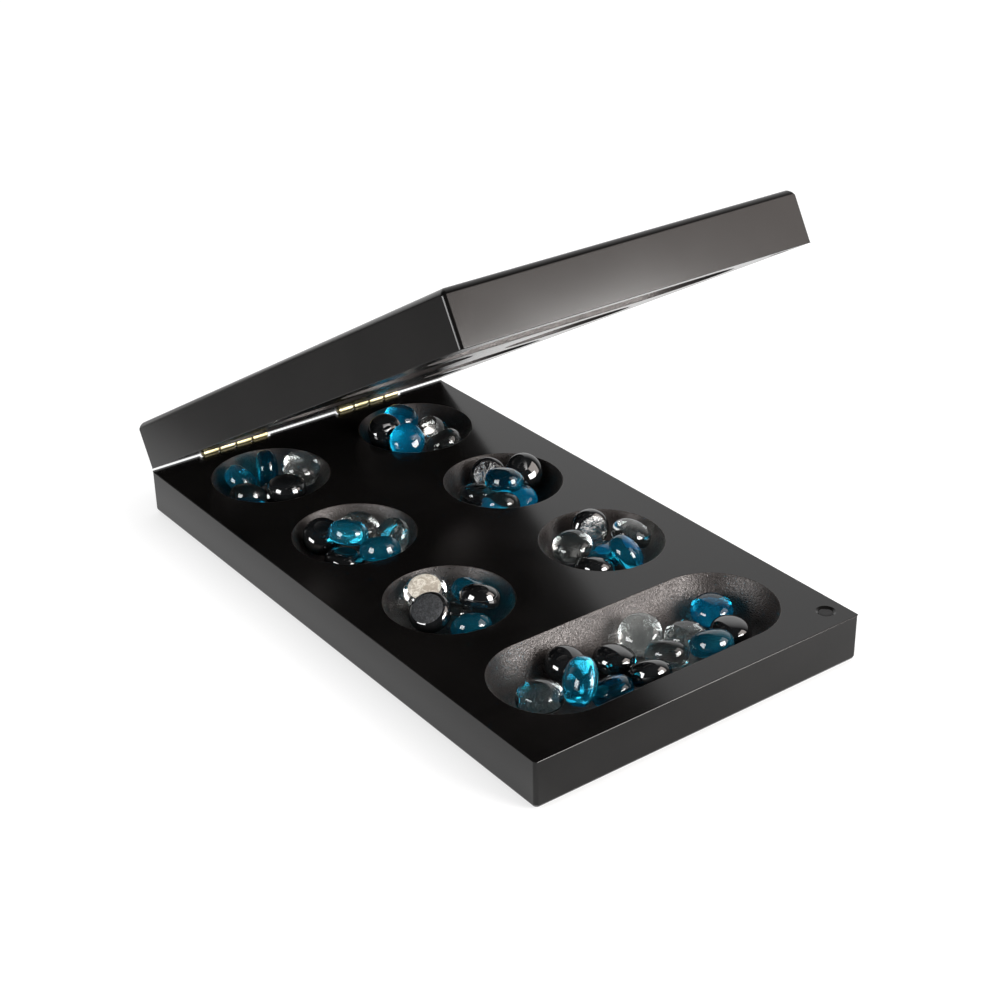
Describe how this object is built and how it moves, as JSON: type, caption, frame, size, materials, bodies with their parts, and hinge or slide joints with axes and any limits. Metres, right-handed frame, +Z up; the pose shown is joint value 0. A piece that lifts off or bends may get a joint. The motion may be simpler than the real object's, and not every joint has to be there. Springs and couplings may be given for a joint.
{
  "type": "folding mancala board",
  "caption": "Folding mancala board in black lacquered wood: two hinged halves with dished pits and a long store, half open, with teal, clear and black glass stones.",
  "frame": {"origin": "middle of the lower half's resting face, which is its back face lying on the table", "axes": "+X along the hinges, from the left hinge to the right one; +Y from the store end to the hinge end; +Z up"},
  "size_m": [0.125, 0.2298, 0.142],
  "materials": {
    "black_lacquer": "satin black lacquer",
    "magnet_lacquer": "satin black lacquer over steel-grey magnet",
    "brass": "polished",
    "teal_glass": "polished, clear teal",
    "clear_glass": "polished, clear",
    "black_glass": "polished, opaque black"
  },
  "bodies": {
    "base": {"base_board": "black_lacquer", "base_magnet": "magnet_lacquer", "left_hinge_base_leaf": "brass", "left_hinge_pin": "brass", "right_hinge_base_leaf": "brass", "right_hinge_pin": "brass"},
    "lid": {"lid_board": "black_lacquer", "lid_magnet": "magnet_lacquer", "left_hinge_lid_leaf": "brass", "right_hinge_lid_leaf": "brass"},
    "back_left_stones": {"back_left_black_stone_1": "black_glass", "back_left_black_stone_2": "black_glass", "back_left_clear_stone_1": "clear_glass", "back_left_clear_stone_2": "clear_glass", "back_left_teal_stone_1": "teal_glass", "back_left_teal_stone_2": "teal_glass"},
    "back_right_stones": {"back_right_black_stone_1": "black_glass", "back_right_black_stone_2": "black_glass", "back_right_clear_stone_1": "clear_glass", "back_right_clear_stone_2": "clear_glass", "back_right_teal_stone_1": "teal_glass", "back_right_teal_stone_2": "teal_glass"},
    "mid_left_stones": {"mid_left_black_stone_1": "black_glass", "mid_left_black_stone_2": "black_glass", "mid_left_clear_stone_1": "clear_glass", "mid_left_clear_stone_2": "clear_glass", "mid_left_teal_stone_1": "teal_glass", "mid_left_teal_stone_2": "teal_glass"},
    "mid_right_stones": {"mid_right_black_stone_1": "black_glass", "mid_right_black_stone_2": "black_glass", "mid_right_clear_stone_1": "clear_glass", "mid_right_clear_stone_2": "clear_glass", "mid_right_teal_stone_1": "teal_glass", "mid_right_teal_stone_2": "teal_glass"},
    "front_left_stones": {"front_left_black_stone_1": "black_glass", "front_left_black_stone_2": "black_glass", "front_left_clear_stone_1": "clear_glass", "front_left_clear_stone_2": "clear_glass", "front_left_teal_stone_1": "teal_glass", "front_left_teal_stone_2": "teal_glass"},
    "front_right_stones": {"front_right_black_stone_1": "black_glass", "front_right_black_stone_2": "black_glass", "front_right_clear_stone_1": "clear_glass", "front_right_clear_stone_2": "clear_glass", "front_right_teal_stone_1": "teal_glass", "front_right_teal_stone_2": "teal_glass"},
    "store_stones": {"store_black_stone_1": "black_glass", "store_black_stone_2": "black_glass", "store_black_stone_3": "black_glass", "store_black_stone_4": "black_glass", "store_clear_stone_1": "clear_glass", "store_clear_stone_2": "clear_glass", "store_clear_stone_3": "clear_glass", "store_clear_stone_4": "clear_glass", "store_teal_stone_1": "teal_glass", "store_teal_stone_2": "teal_glass", "store_teal_stone_3": "teal_glass", "store_teal_stone_4": "teal_glass"}
  },
  "joints": [
    {"name": "lid_hinge", "type": "hinge", "parent": "base", "child": "lid", "pos_m": [0, 0.1113, 0.0169], "axis": [-1, 0, 0], "range_deg": [-30, 150]},
    {"name": "back_left_scoop", "type": "slide", "parent": "base", "child": "back_left_stones", "axis": [0, -0.2079, 0.9781], "range_m": [0, 0.012]},
    {"name": "back_right_scoop", "type": "slide", "parent": "base", "child": "back_right_stones", "axis": [0, -0.2079, 0.9781], "range_m": [0, 0.012]},
    {"name": "mid_left_scoop", "type": "slide", "parent": "base", "child": "mid_left_stones", "axis": [0, 0, 1], "range_m": [0, 0.03]},
    {"name": "mid_right_scoop", "type": "slide", "parent": "base", "child": "mid_right_stones", "axis": [0, 0, 1], "range_m": [0, 0.03]},
    {"name": "front_left_scoop", "type": "slide", "parent": "base", "child": "front_left_stones", "axis": [0, 0, 1], "range_m": [0, 0.03]},
    {"name": "front_right_scoop", "type": "slide", "parent": "base", "child": "front_right_stones", "axis": [0, 0, 1], "range_m": [0, 0.03]},
    {"name": "store_scoop", "type": "slide", "parent": "base", "child": "store_stones", "axis": [0, 0, 1], "range_m": [0, 0.03]}
  ]
}
